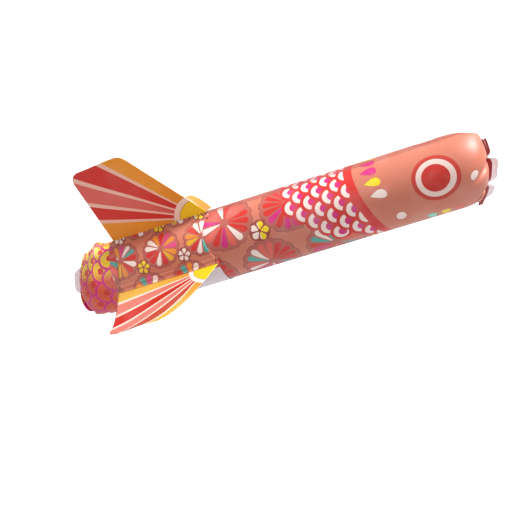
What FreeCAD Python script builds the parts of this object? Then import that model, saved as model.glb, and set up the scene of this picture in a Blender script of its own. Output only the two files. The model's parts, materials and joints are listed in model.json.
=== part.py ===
import FreeCAD, Part
import math
import os
from FreeCAD import Vector

# A fish-shaped inflatable hand glider. A lay-flat film tube is welded shut at both ends and blown
# up, a sleeve is drawn over its tail, and three film fins flex on the sleeve's ridges. The sleeve's
# upper half is printed film with a bitten front edge, and its lower half is clear.
# Frame: +X runs along the tube to the nose, +Z is up, the right-hand side is -Y. The origin is on
# the tube's axis, half way along the object. Azimuth turns about X, from -Y (0) up to +Z (90).

os.makedirs("parts", exist_ok=True)

# --- air tube -----------------------------------------------------------------------------------
TUBE_RADIUS = 40.0         # blown up
FILM = 0.4                 # wall of the tube and of the sleeve
NOSE_WELD_X = 234.5        # foremost point of the film, where the nose weld starts
TAIL_WELD_X = -234.5       # rearmost point of the film, where the tail weld starts
CREASE_AZIMUTH = 82.0      # the tube's upper lay-flat crease
WELD_WIDTH = 5.0           # flattened weld at each end
FLANGE_WIDTH = 7.5         # clear margin outside each weld
FLANGE_THICKNESS = 0.5
CORNER_TUCK = 5.0          # film bunched up inside each corner of a weld
PANEL_POINTS = 15          # points round each half of a gathered end, crease to crease
END_ROWS = 4               # strips along each gathered end, outside
LINING_ROWS = 2            # and inside, where the bunched film is left without pleats
LINING_TURN = 70.0         # how near the inside comes to flat, where the weld is 90 degrees

# --- gathered ends: how the film runs from the round tube to each weld ---------------------------
# Heights are measured from the tube's axis along the crease.
NOSE_GATHER = 46.0         # length from the round tube to the weld's foremost point
NOSE_TWIST = 24.0          # degrees that the weld is turned from the creases
NOSE_UPPER = 29.0          # weld's upper end
NOSE_LOWER = 42.0          # weld's lower end, below the axis
NOSE_CROWN = 12.0          # height of the weld's foremost point
NOSE_SWEEP = 24.0          # how far its lower end lies back
NOSE_WAVE = 1.5            # sideways swing between pleats
NOSE_PLEAT_HEIGHTS = [4.0, -19.0]
NOSE_PLEAT_WIDTHS = [5.5, 5.5]
NOSE_PLEAT_DEPTHS = [0.35, 0.5]     # share of the bulge that a pleat takes away
NOSE_PLEAT_PULLS = [2.2, 2.6]       # how far a pleat draws the weld in
TAIL_GATHER = 38.0
TAIL_TWIST = 14.0
TAIL_UPPER = 34.0
TAIL_LOWER = 37.0
TAIL_CROWN = 4.0
TAIL_SWEEP = 9.0
TAIL_WAVE = -3.0
TAIL_PLEAT_HEIGHTS = [14.0, -21.0]
TAIL_PLEAT_WIDTHS = [7.0, 6.0]
TAIL_PLEAT_DEPTHS = [0.3, 0.6]
TAIL_PLEAT_PULLS = [1.0, 5.0]

# --- tail sleeve --------------------------------------------------------------------------------
SLEEVE_CLEARANCE = 0.1     # between the tube and the sleeve
SLEEVE_FRONT_X = -61.0
SLEEVE_LENGTH = 121.0
RIDGE_ANGLE = 19.5         # how far round the tube, each side of a ridge, the sleeve leaves it
SCALLOP_DEPTH = 10.0       # curved bites in the sleeve's front edge, between the ridges
SCALLOP_RADIUS = 46.0
CLEAR_EDGE = 6.0           # the clear lower half starts this many degrees below the side ridges
CLEAR_SETBACK = 3.0        # and ends this far behind the front edge at the ridges

# --- fins ---------------------------------------------------------------------------------------
FIN_THICKNESS = 0.6
FIN_ROOT = 117.0
FIN_SPAN = 95.0            # at the front corner
FIN_REAR_SPAN = 90.0       # at the rear corner
FIN_SWEEP = {"right": 57.0, "top": 61.0, "left": 57.0}     # the front corner lies this far behind the tip
FIN_TRAIL = {"right": 0.0, "top": 6.0, "left": 0.0}        # and the rear corner behind the end of the root
FIN_TIP_RADIUS = 3.0
FIN_FRONT_RADIUS = 13.0
FIN_REAR_RADIUS = 9.0
FIN_SETBACK = 1.0          # the fin's tip behind the sleeve's front edge
FIN_AZIMUTH = {"right": 6.0, "top": 90.0, "left": 174.0}
FIN_RAKE = {"right": -4.0, "top": 0.0, "left": 4.0}        # as the limp film lies, towards +azimuth
FOOT_REACH = 6.5           # welded flange of a fin's foot, down each slope of the ridge
FOOT_THICKNESS = 0.5
FOOT_WEB = 1.2             # thickness of the foot's upstand
FOOT_HEIGHT = 2.0          # upstand above the ridge
HINGE_GAP = 0.4            # from the bending line to the foot below it and to the fin above it

# --- filler valve, on the underside -------------------------------------------------------------
VALVE_X = 12.0
VALVE_AZIMUTH = 212.0
VALVE_DISC_RADIUS = 11.0
VALVE_DISC_THICKNESS = 0.6
STEM_RADIUS = 4.6
STEM_BORE = 3.2
STEM_HEIGHT = 8.0          # above the film
STEM_INSIDE = 2.5          # below the film's outer face
PLUG_CLEARANCE = 0.05      # spigot in bore
PLUG_DEPTH = 6.0
PLUG_HEAD_RADIUS = 5.4
PLUG_HEAD = 1.8
PLUG_SEAT = 0.3            # gap under the plug's head, so it can be drawn out
PLUG_TAB = 5.0
TAB_ROUNDING = 0.9         # corner radius of the tab, as a share of half its width
FLAP_THICKNESS = 0.4
STRAP_WIDTH = 3.0
STRAP_THICKNESS = 0.8
STRAP_GAP = 0.3            # from the strap's eye to the plug
CUT_PAST = 1.0             # how far a cutting form runs past what it cuts

# --- worked out ---------------------------------------------------------------------------------
SLEEVE_INNER = TUBE_RADIUS + SLEEVE_CLEARANCE
SLEEVE_OUTER = SLEEVE_INNER + FILM
RIDGE_RADIUS = SLEEVE_OUTER / math.cos(math.radians(RIDGE_ANGLE))
HINGE_RADIUS = RIDGE_RADIUS + FOOT_HEIGHT + HINGE_GAP
SLEEVE_REAR_X = SLEEVE_FRONT_X - SLEEVE_LENGTH
FIN_TIP_X = SLEEVE_FRONT_X - FIN_SETBACK
FIN_REAR_X = FIN_TIP_X - FIN_ROOT


class GatheredEnd:
    """One puckered end of the tube, from the round barrel to the flat weld."""

    def __init__(self, weld_x, length, twist, reach, crown, sweep, wave, pleats):
        self.weld_x = weld_x
        self.length = length
        self.twist = twist
        self.upper, self.lower = reach
        self.crown = crown
        self.sweep = sweep
        self.wave = wave
        self.pleats = pleats        # (height, half width, depth, pull) of each
        self.way = 1.0 if weld_x > 0 else -1.0

    def pleat(self, height):
        """How deep in a pleat a height is, 0 to 1, and how far the pleat draws the film in."""
        depth = 0.0
        pull = 0.0
        for at, half_width, share, draw in self.pleats:
            near = math.exp(-((height - at) / half_width) ** 2)
            depth += share * near
            pull += draw * near
        return min(depth, 0.9), pull

    def edge_x(self, height):
        """Where the film ends at a height along the crease direction."""
        back = self.sweep * ((height - self.crown) / (self.lower + self.crown)) ** 2
        return self.weld_x - self.way * (back + self.pleat(height)[1])

    def section(self, turn, radius, half_flat, tuck=0.0):
        """Upper reach, lower reach, bulge and azimuth: turn 0 is the half circle, 90 the flat weld."""
        near, flat = math.cos(math.radians(turn)), math.sin(math.radians(turn))
        upper = radius + (self.upper - TUBE_RADIUS - tuck) * (1 - near)
        lower = radius + (self.lower - TUBE_RADIUS - tuck) * (1 - near)
        return upper, lower, radius * near + half_flat * flat, CREASE_AZIMUTH + self.twist * flat ** 3

    def place(self, flat, edge_x, azimuth, height, side):
        """Point on the way from the barrel (flat 0) to the film's edge (flat 1)."""
        start = self.weld_x - self.way * self.length
        return about_axis(start + (edge_x - start) * flat, azimuth, height, side)

    def panel_row(self, turn, half_flat, hand, beyond=0.0):
        """Points across one film panel from crease to crease, with its pleats."""
        near, flat = math.cos(math.radians(turn)), math.sin(math.radians(turn))
        upper, lower, bulge, azimuth = self.section(turn, TUBE_RADIUS, half_flat)
        half_chord = (upper + lower) / 2
        half_angle = 2 * math.atan2(bulge, half_chord)
        arc_radius = half_chord / math.sin(half_angle)
        row = []
        for step in range(PANEL_POINTS):
            angle = half_angle * (1 - 2 * step / (PANEL_POINTS - 1))
            height = (upper - lower) / 2 + arc_radius * math.sin(angle)
            side = arc_radius * (math.cos(angle) - math.cos(half_angle))
            side *= 1 - self.pleat(height)[0] * near * flat ** 2
            sway = self.wave * flat ** 4 * math.sin(math.pi * (height - self.crown) / self.upper)
            edge_x = self.edge_x(height) + self.way * beyond
            row.append(self.place(flat, edge_x, azimuth, height, hand * side + sway))
        return row

    def lining_row(self, turn, hand):
        """Three points of a plain arc inside one film panel, clear of its pleats."""
        near, flat = math.cos(math.radians(turn)), math.sin(math.radians(turn))
        upper, lower, bulge, azimuth = self.section(turn, TUBE_RADIUS - FILM, 0.0, CORNER_TUCK)
        bulge *= 1 - max(depth for _, _, depth, _ in self.pleats) * near * flat ** 2
        short = self.way * (WELD_WIDTH + max(pull for _, _, _, pull in self.pleats))
        return [self.place(flat, self.edge_x(height) - short, azimuth, height, hand * side)
                for height, side in ((upper, 0.0), ((upper - lower) / 2, bulge), (-lower, 0.0))]


def about_axis(x, azimuth, height, side=0.0):
    """The point at height along an azimuth, and off it sideways."""
    a = math.radians(azimuth)
    across = Vector(0, -math.sin(a), -math.cos(a))
    return Vector(x, 0, 0) + Vector(0, -math.cos(a), math.sin(a)) * height + across * side


NOSE = GatheredEnd(NOSE_WELD_X, NOSE_GATHER, NOSE_TWIST, (NOSE_UPPER, NOSE_LOWER),
                   NOSE_CROWN, NOSE_SWEEP, NOSE_WAVE,
                   list(zip(NOSE_PLEAT_HEIGHTS, NOSE_PLEAT_WIDTHS, NOSE_PLEAT_DEPTHS, NOSE_PLEAT_PULLS)))
TAIL = GatheredEnd(TAIL_WELD_X, TAIL_GATHER, TAIL_TWIST, (TAIL_UPPER, TAIL_LOWER),
                   TAIL_CROWN, TAIL_SWEEP, TAIL_WAVE,
                   list(zip(TAIL_PLEAT_HEIGHTS, TAIL_PLEAT_WIDTHS, TAIL_PLEAT_DEPTHS, TAIL_PLEAT_PULLS)))


def solid_from(faces):
    shell = Part.makeShell(faces)
    shell.sewShape()
    solid = Part.Solid(Part.Shell(shell.Faces))
    if solid.Volume < 0:
        solid.reverse()
    return solid


def curve_through(row):
    curve = Part.BSplineCurve()
    curve.interpolate(row)
    return curve.toShape()


def panel_line(end, turn, hand):
    """Edge across one film panel, crease to crease: a half circle, or a curve nearer the weld."""
    row = end.panel_row(turn, FILM, hand)
    if turn == 0:
        return Part.Arc(row[0], row[PANEL_POINTS // 2], row[-1]).toShape()
    return curve_through(row)


def lining_line(end, turn, hand):
    return Part.Arc(*end.lining_row(turn, hand)).toShape()


def tube_solid(line, rows, last_turn):
    """The tube's form: a right and a left panel from end to end, closed between their last lines."""
    turns = [last_turn * step / rows for step in range(rows + 1)]
    faces = []
    last_lines = []
    for hand in (1, -1):
        nose = [line(NOSE, turn, hand) for turn in turns]
        tail = [line(TAIL, turn, hand) for turn in turns]
        for lines in (nose, tail):
            faces += [Part.makeRuledSurface(near, far) for near, far in zip(lines, lines[1:])]
        reach = tail[0].Vertexes[0].Point - nose[0].Vertexes[0].Point
        faces.append(nose[0].extrude(reach))
        last_lines.append((nose[-1], tail[-1]))
    faces += [Part.makeRuledSurface(right, left) for right, left in zip(*last_lines)]
    return solid_from(faces)


def body_film():
    outer = tube_solid(panel_line, END_ROWS, 90.0)
    inner = tube_solid(lining_line, LINING_ROWS, LINING_TURN)
    return outer.cut(inner).cut(valve_post(TUBE_RADIUS / 2, STEM_RADIUS, 2 * TUBE_RADIUS))


def margin(end, start, width, thickness):
    """A flat band of film that carries on from an end, from start to start + width beyond it."""
    lines = [curve_through(end.panel_row(90.0, thickness / 2, hand, beyond))
             for beyond, hand in ((start, 1), (start + width, 1), (start + width, -1), (start, -1))]
    return solid_from([Part.makeRuledSurface(line, lines[number - 1]) for number, line in enumerate(lines)])


# --- tail sleeve --------------------------------------------------------------------------------

def ridged_profile(radius):
    """Closed wire round the tube: arcs, with a straight slope up to each ridge and down again."""
    apex = radius / math.cos(math.radians(RIDGE_ANGLE))
    ridges = sorted(FIN_AZIMUTH.values())
    edges = []
    for ridge, following in zip(ridges, ridges[1:] + [ridges[0] + 360]):
        top = about_axis(0, ridge, apex)
        foot = about_axis(0, ridge + RIDGE_ANGLE, radius)
        next_foot = about_axis(0, following - RIDGE_ANGLE, radius)
        edges.append(Part.LineSegment(about_axis(0, ridge - RIDGE_ANGLE, radius), top).toShape())
        edges.append(Part.LineSegment(top, foot).toShape())
        edges.append(Part.Arc(foot, about_axis(0, (ridge + following) / 2, radius), next_foot).toShape())
    return Part.Wire(Part.__sortEdges__(edges))


def prism(wire, rear_x, length):
    """A closed wire in the plane x = 0, carried along the tube."""
    solid = Part.Face(wire).extrude(Vector(length, 0, 0))
    solid.translate(Vector(rear_x, 0, 0))
    return solid


def lower_sector(front_x):
    """Wedge below the two side ridges, from behind the sleeve up to front_x."""
    start = FIN_AZIMUTH["left"] + CLEAR_EDGE
    turn = 360 + FIN_AZIMUTH["right"] - CLEAR_EDGE - start
    rim = [about_axis(0, start + turn * share, 2 * TUBE_RADIUS) for share in (0, 1 / 3, 2 / 3, 1)]
    centre = about_axis(0, 0, 0)
    rear_x = SLEEVE_REAR_X - CUT_PAST
    return prism(Part.makePolygon([centre] + rim + [centre]), rear_x, front_x - rear_x)


def sleeve_ring():
    outer = prism(ridged_profile(SLEEVE_OUTER), SLEEVE_REAR_X, SLEEVE_LENGTH)
    inner = prism(ridged_profile(SLEEVE_INNER), SLEEVE_REAR_X - CUT_PAST, SLEEVE_LENGTH + 2 * CUT_PAST)
    return outer.cut(inner)


def scallop(azimuth):
    """Round punch that bites the sleeve's front edge half way between two ridges."""
    centre = about_axis(SLEEVE_FRONT_X - SCALLOP_DEPTH + SCALLOP_RADIUS, azimuth, TUBE_RADIUS / 2)
    return Part.makeCylinder(SCALLOP_RADIUS, TUBE_RADIUS, centre, about_axis(0, azimuth, 1))


def tail_sleeve():
    """The printed upper half of the sleeve."""
    sleeve = sleeve_ring().cut(lower_sector(SLEEVE_FRONT_X + CUT_PAST))
    ridges = sorted(FIN_AZIMUTH.values())
    for ridge, following in zip(ridges, ridges[1:]):
        sleeve = sleeve.cut(scallop((ridge + following) / 2))
    return sleeve


def sleeve_window():
    """The clear lower half of the sleeve."""
    return sleeve_ring().common(lower_sector(SLEEVE_FRONT_X - CLEAR_SETBACK))


# --- fins ---------------------------------------------------------------------------------------

def fin_foot(azimuth):
    """Folded strip welded over a ridge: a flange down each slope and an upstand for the fin."""
    slope = math.radians(RIDGE_ANGLE)
    half_web = FOOT_WEB / 2
    outer = [(RIDGE_RADIUS - FOOT_REACH * math.sin(slope), FOOT_REACH * math.cos(slope))]
    outer.append((outer[0][0] + FOOT_THICKNESS * math.cos(slope), outer[0][1] + FOOT_THICKNESS * math.sin(slope)))
    rise = (outer[1][1] - half_web) * math.tan(slope)
    outer.append((outer[1][0] + rise, half_web))
    outer.append((HINGE_RADIUS - HINGE_GAP, half_web))
    right = [about_axis(0, azimuth, radius, side) for radius, side in outer]
    left = [about_axis(0, azimuth, radius, -side) for radius, side in reversed(outer)]
    corners = [about_axis(0, azimuth, RIDGE_RADIUS)] + right + left + [about_axis(0, azimuth, RIDGE_RADIUS)]
    return prism(Part.makePolygon(corners), FIN_REAR_X, FIN_ROOT)


def fin(azimuth, rake, sweep, trail):
    """Flat film fin in its own plane, rounded at its three free corners, then raked and turned."""
    root = HINGE_GAP
    corners = [(FIN_REAR_X, root), (FIN_TIP_X, root), (FIN_TIP_X - sweep, FIN_SPAN),
               (FIN_REAR_X - trail, FIN_REAR_SPAN), (FIN_REAR_X, root)]
    half = FIN_THICKNESS / 2
    outline = Part.makePolygon([Vector(x, -half, z) for x, z in corners])
    plate = Part.Face(outline).extrude(Vector(0, FIN_THICKNESS, 0))
    for number, radius in ((1, FIN_TIP_RADIUS), (2, FIN_FRONT_RADIUS), (3, FIN_REAR_RADIUS)):
        x, z = corners[number]
        at_corner = [e for e in plate.Edges if all(math.hypot(v.X - x, v.Z - z) < 0.01 for v in e.Vertexes)]
        plate = plate.makeFillet(radius, at_corner)
    plate.rotate(Vector(0, 0, 0), Vector(1, 0, 0), 90 - azimuth - rake)
    plate.translate(about_axis(0, azimuth, HINGE_RADIUS))
    return plate


# --- filler valve -------------------------------------------------------------------------------

def valve_post(low, radius, high):
    """Cylinder on the valve's axis, between two distances from the tube's axis."""
    return Part.makeCylinder(radius, high - low, about_axis(VALVE_X, VALVE_AZIMUTH, low),
                             about_axis(0, VALVE_AZIMUTH, 1))


def shell_round_tube(inner, outer):
    """Round pipe along the tube near the valve, used to cut curved discs."""
    length = 4 * VALVE_DISC_RADIUS
    start = Vector(VALVE_X - length / 2, 0, 0)
    along = Vector(1, 0, 0)
    return Part.makeCylinder(outer, length, start, along).cut(Part.makeCylinder(inner, length, start, along))


def valve_body():
    """Curved base disc welded on the film, with the stem standing on it and reaching inside."""
    disc = valve_post(TUBE_RADIUS / 2, VALVE_DISC_RADIUS, 2 * TUBE_RADIUS).common(
        shell_round_tube(TUBE_RADIUS, TUBE_RADIUS + VALVE_DISC_THICKNESS))
    stem = valve_post(TUBE_RADIUS - STEM_INSIDE, STEM_RADIUS, TUBE_RADIUS + STEM_HEIGHT)
    bore = valve_post(TUBE_RADIUS / 2, STEM_BORE, 2 * TUBE_RADIUS)
    return disc.fuse(stem).cut(bore).removeSplitter()


def valve_flap():
    """Limp disc under the stem that shuts when the air presses on it."""
    return valve_post(TUBE_RADIUS - STEM_INSIDE - FLAP_THICKNESS, STEM_RADIUS, TUBE_RADIUS - STEM_INSIDE)


def valve_plug():
    """Spigot that fills the bore, a flat head and a tab to pull it by."""
    top = TUBE_RADIUS + STEM_HEIGHT
    head_low = top + PLUG_SEAT
    spigot = valve_post(top - PLUG_DEPTH, STEM_BORE - PLUG_CLEARANCE, head_low + PLUG_HEAD / 2)
    head = valve_post(head_low, PLUG_HEAD_RADIUS, head_low + PLUG_HEAD)
    reach = PLUG_HEAD_RADIUS + PLUG_TAB
    tab = Part.makeBox(reach, 2 * STEM_BORE, PLUG_HEAD / 2, Vector(0, -STEM_BORE, 0))
    tab = tab.makeFillet(STEM_BORE * TAB_ROUNDING, [e for e in tab.Edges if upright_at(e, reach)])
    tab.rotate(Vector(0, 0, 0), Vector(1, 0, 0), 90 - VALVE_AZIMUTH)
    tab.translate(about_axis(VALVE_X, VALVE_AZIMUTH, head_low + PLUG_HEAD / 4))
    return spigot.fuse(head).fuse(tab).removeSplitter()


def upright_at(edge, x):
    """True for a vertical edge at that x."""
    ends = edge.Vertexes
    return all(abs(v.X - x) < 0.001 for v in ends) and abs(ends[0].Z - ends[-1].Z) > 0.1


def valve_strap():
    """Strap moulded on the base disc that runs up behind the stem to an eye round the plug's head."""
    top = TUBE_RADIUS + STEM_HEIGHT + PLUG_SEAT
    inner = PLUG_HEAD_RADIUS + STRAP_GAP
    outer = inner + STRAP_THICKNESS
    eye = valve_post(top, outer, top + STRAP_THICKNESS)
    eye = eye.cut(valve_post(top - CUT_PAST, inner, top + STRAP_THICKNESS + CUT_PAST))
    gate = Part.makeBox(2 * outer, 2 * STEM_BORE + 2 * STRAP_GAP, 4 * PLUG_HEAD,
                        Vector(0, -STEM_BORE - STRAP_GAP, -2 * PLUG_HEAD))
    gate.rotate(Vector(0, 0, 0), Vector(1, 0, 0), 90 - VALVE_AZIMUTH)
    gate.translate(about_axis(VALVE_X, VALVE_AZIMUTH, top))
    low = TUBE_RADIUS + VALVE_DISC_THICKNESS
    leg = Part.makeBox(STRAP_THICKNESS, STRAP_WIDTH, top + STRAP_THICKNESS - low,
                       Vector(-outer, -STRAP_WIDTH / 2, 0))
    leg.rotate(Vector(0, 0, 0), Vector(1, 0, 0), 90 - VALVE_AZIMUTH)
    leg.translate(about_axis(VALVE_X, VALVE_AZIMUTH, low))
    base_cut = shell_round_tube(TUBE_RADIUS - STEM_INSIDE, low)
    return eye.cut(gate).fuse(leg).cut(base_cut).removeSplitter()


def write(node, shape):
    print(node, len(shape.Solids), "solids", round(shape.Volume, 1), "mm3", shape.isValid())
    shape.exportStep("parts/" + node + ".step")


write("body_film", body_film())
for name, gathered in (("nose", NOSE), ("tail", TAIL)):
    write(name + "_weld", margin(gathered, 0.0, WELD_WIDTH, 2 * FILM))
    write(name + "_flange", margin(gathered, WELD_WIDTH, FLANGE_WIDTH, FLANGE_THICKNESS))
write("tail_sleeve", tail_sleeve())
write("sleeve_window", sleeve_window())
for side, at in FIN_AZIMUTH.items():
    write(side + "_fin_foot", fin_foot(at))
    write(side + "_fin", fin(at, FIN_RAKE[side], FIN_SWEEP[side], FIN_TRAIL[side]))
write("valve_body", valve_body())
write("valve_flap", valve_flap())
write("valve_strap", valve_strap())
write("valve_plug", valve_plug())
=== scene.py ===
import json
import math
from dataclasses import dataclass

import bpy
from mathutils import Matrix, Vector, noise


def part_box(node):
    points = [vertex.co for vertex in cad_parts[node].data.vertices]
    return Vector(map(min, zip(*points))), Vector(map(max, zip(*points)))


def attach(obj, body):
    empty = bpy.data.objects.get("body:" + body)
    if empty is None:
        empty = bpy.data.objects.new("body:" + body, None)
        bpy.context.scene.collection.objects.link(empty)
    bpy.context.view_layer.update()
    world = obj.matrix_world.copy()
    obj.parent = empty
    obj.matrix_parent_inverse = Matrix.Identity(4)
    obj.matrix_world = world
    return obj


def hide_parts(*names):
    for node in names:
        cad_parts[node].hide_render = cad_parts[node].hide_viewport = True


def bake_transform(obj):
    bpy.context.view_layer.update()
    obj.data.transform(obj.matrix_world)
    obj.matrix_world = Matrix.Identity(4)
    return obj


# A fish-shaped inflatable hand glider. The frame gives the air tube, its welds, the tail sleeve, the three
# fins with their feet, and the filler valve. Here the film gets its puckers, creases and print. Metres and
# the part's own frame throughout: +X to the nose, +Z up, and the right-hand side is -Y. An azimuth is in
# degrees round the tube, 0 to the right-hand side and 90 up.

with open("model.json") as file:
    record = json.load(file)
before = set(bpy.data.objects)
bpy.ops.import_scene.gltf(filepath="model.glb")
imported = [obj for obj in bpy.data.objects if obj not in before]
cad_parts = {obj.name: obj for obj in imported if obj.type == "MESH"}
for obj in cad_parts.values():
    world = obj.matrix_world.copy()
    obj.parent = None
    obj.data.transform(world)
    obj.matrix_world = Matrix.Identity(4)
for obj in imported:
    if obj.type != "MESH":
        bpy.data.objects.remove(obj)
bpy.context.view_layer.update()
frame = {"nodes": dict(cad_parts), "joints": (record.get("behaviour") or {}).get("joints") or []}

MM = 0.001

# --- sizes of the film toy ---
tube_low, tube_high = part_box("body_film")
sleeve_low, sleeve_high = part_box("tail_sleeve")
top_foot_low, top_foot_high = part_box("top_fin_foot")
TUBE_RADIUS = 40 * MM
CREASE_AZIMUTH = 82.0  # where the lay-flat tube was folded, and 180 degrees on
HALF_ROUND = math.pi * TUBE_RADIUS  # width of one film panel, crease to crease
NOSE_WELD_X = tube_high.x
TAIL_WELD_X = tube_low.x
FILM_GAP = 0.1 * MM  # between the tube and the sleeve
FILM = 0.4 * MM
RIDGE_ANGLE = 19.5  # from a fin's ridge to the foot of its slopes
SLEEVE_RADIUS = TUBE_RADIUS + FILM_GAP + FILM
RIDGE_RADIUS = SLEEVE_RADIUS / math.cos(math.radians(RIDGE_ANGLE))
SCALLOP_DEPTH = 10 * MM  # how far the sleeve's front edge is bitten back between two fins
SCALLOP_RADIUS = 46 * MM
CLEAR_EDGE = 6.0  # the clear half starts this far below a side fin
FIN_AZIMUTH = {"right": 6.0, "top": 90.0, "left": 174.0}
FIN_RAKE = {"right": -4.0, "top": 0.0, "left": 4.0}
FIN_HINGE = {joint["name"].split("_fin")[0]: Vector(joint["pos_m"])
             for joint in frame["joints"] if "_fin" in joint["name"]}


# --- mesh helpers ---

def about_axis(x, azimuth, height, side=0.0):
    """The point at height along an azimuth, and off it sideways; azimuth 0 is -Y and 90 is +Z."""
    a = math.radians(azimuth)
    return Vector((x, -math.cos(a) * height - math.sin(a) * side, math.sin(a) * height - math.cos(a) * side))


def ease(t):
    t = min(max(t, 0.0), 1.0)
    return t * t * (3 - 2 * t)


def new_object(name, data):
    obj = bpy.data.objects.new(name, data)
    bpy.context.scene.collection.objects.link(obj)
    return obj


def grid_piece(name, rows, material, uv_rows=None):
    """A sheet from rows of points, each row as long as the next, with its own film coordinates."""
    width = len(rows[0])
    points = [point for row in rows for point in row]
    faces = []
    for r in range(len(rows) - 1):
        for c in range(width - 1):
            at = r * width + c
            faces.append((at, at + 1, at + width + 1, at + width))
    mesh = bpy.data.meshes.new(name)
    mesh.from_pydata([tuple(p) for p in points], [], faces)
    if uv_rows:
        flat = [uv for row in uv_rows for uv in row]
        layer = mesh.uv_layers.new(name="film")
        for loop in mesh.loops:
            layer.data[loop.index].uv = flat[loop.vertex_index]
    for polygon in mesh.polygons:
        polygon.use_smooth = True
    mesh.materials.append(material)
    return new_object(name, mesh)


def apply_modifier(obj, kind, **settings):
    modifier = obj.modifiers.new(kind.lower(), kind)
    for key, value in settings.items():
        setattr(modifier, key, value)
    with bpy.context.temp_override(object=obj, active_object=obj):
        bpy.ops.object.modifier_apply(modifier=modifier.name)


# --- shader helpers ---
FLOAT, COLOUR, VECTOR = "NodeSocketFloat", "NodeSocketColor", "NodeSocketVector"
ROW_OFFSET = 256.0  # even, and keeps the row numbers of a lattice positive


class Nodes:
    """A short way to write shader maths: each call adds one node and gives back its output."""

    def __init__(self, tree):
        self.tree = tree

    def add(self, kind, **settings):
        node = self.tree.nodes.new(kind)
        for key, value in settings.items():
            setattr(node, key, value)
        return node

    def put(self, value, socket):
        if isinstance(value, bpy.types.NodeSocket):
            self.tree.links.new(value, socket)
        else:
            socket.default_value = value

    def math(self, operation, *values, clamp=False):
        node = self.add("ShaderNodeMath", operation=operation, use_clamp=clamp)
        for number, value in enumerate(values):
            self.put(value, node.inputs[number])
        return node.outputs[0]

    def plus(self, first, second):
        return self.math("ADD", first, second)

    def minus(self, first, second):
        return self.math("SUBTRACT", first, second)

    def times(self, first, second, clamp=False):
        return self.math("MULTIPLY", first, second, clamp=clamp)

    def over(self, first, second, clamp=False):
        return self.math("DIVIDE", first, second, clamp=clamp)

    def larger(self, first, second):
        return self.math("MAXIMUM", first, second)

    def absolute(self, value):
        return self.math("ABSOLUTE", value)

    def floor(self, value):
        return self.math("FLOOR", value)

    def root(self, value):
        return self.math("SQRT", value)

    def band(self, value, low, high, soft):
        """1 where low < value < high, with edges that take soft to change."""
        rise = self.over(self.minus(value, low), soft, clamp=True)
        fall = self.over(self.minus(high, value), soft, clamp=True)
        return self.times(rise, fall)

    def under(self, value, limit, soft):
        """1 where value < limit, with an edge that takes soft to change."""
        return self.over(self.minus(limit, value), soft, clamp=True)

    def length(self, x, y):
        return self.root(self.plus(self.times(x, x), self.times(y, y)))

    def from_middle(self, place, cell):
        """How far a place lies from the middle of its lattice cell, in cells."""
        return self.minus(self.minus(place, cell), 0.5)

    def stagger(self, row):
        """Half a cell in every other row of a lattice."""
        return self.times(self.math("MODULO", self.plus(row, ROW_OFFSET), 2.0), 0.5)

    def choose(self, switch, off, on):
        """off where the switch is 0 and on where it is 1."""
        return self.plus(self.times(off, self.minus(1.0, switch)), self.times(on, switch))

    def mix(self, factor, first, second):
        node = self.add("ShaderNodeMix", data_type="RGBA")
        self.put(factor, node.inputs[0])
        self.put(first, node.inputs[6])
        self.put(second, node.inputs[7])
        return node.outputs[2]

    def split(self, vector):
        node = self.add("ShaderNodeSeparateXYZ")
        self.put(vector, node.inputs[0])
        return node.outputs[0], node.outputs[1]

    def join(self, x, y, z=0.0):
        node = self.add("ShaderNodeCombineXYZ")
        for number, value in enumerate((x, y, z)):
            self.put(value, node.inputs[number])
        return node.outputs[0]

    def noise(self, place, scale, detail=2.0, distortion=0.0):
        node = self.add("ShaderNodeTexNoise")
        self.put(place, node.inputs["Vector"])
        node.inputs["Scale"].default_value = scale
        node.inputs["Detail"].default_value = detail
        node.inputs["Distortion"].default_value = distortion
        return node.outputs[0]

    def bump(self, height, strength, distance):
        node = self.add("ShaderNodeBump")
        self.put(height, node.inputs["Height"])
        self.put(strength, node.inputs["Strength"])
        node.inputs["Distance"].default_value = distance
        return node.outputs[0]

    def pick(self, value, colours):
        """One of the colours in turn as value goes from 0 to 1."""
        node = self.add("ShaderNodeValToRGB")
        node.color_ramp.interpolation = "CONSTANT"
        for number, colour in enumerate(colours):
            place = number / len(colours)
            if number < 2:
                stop = node.color_ramp.elements[number]
                stop.position = place
            else:
                stop = node.color_ramp.elements.new(place)
            stop.color = colour
        self.put(value, node.inputs[0])
        return node.outputs[0]

    def film_place(self):
        """Where a point lies on the flat film, in metres: along it, and round it from the crease."""
        return self.split(self.add("ShaderNodeUVMap", uv_map="film").outputs[0])


def rgb(red, green, blue):
    """A colour written as it looks on screen, 0 to 255, in the linear light that shaders use."""
    def linear(c):
        c /= 255
        return c / 12.92 if c <= 0.04045 else ((c + 0.055) / 1.055) ** 2.4
    return (linear(red), linear(green), linear(blue), 1.0)


SALMON = rgb(204, 116, 92)
OUTLINE = rgb(150, 62, 52)
PETAL_GROUND = rgb(180, 92, 78)
RED = rgb(206, 26, 16)
DEEP_RED = rgb(164, 20, 18)
CORAL = rgb(222, 92, 78)
# the side fins' inks: darker copies of the top fin's, painted shade
PALE_CORAL_WITH_PAINTED_SHADE = rgb(196, 110, 98)
VERMILION_WITH_PAINTED_SHADE = rgb(176, 28, 14)
BRICK_WITH_PAINTED_SHADE = rgb(168, 60, 40)
HONEY_WITH_PAINTED_SHADE = rgb(206, 156, 58)
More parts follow.
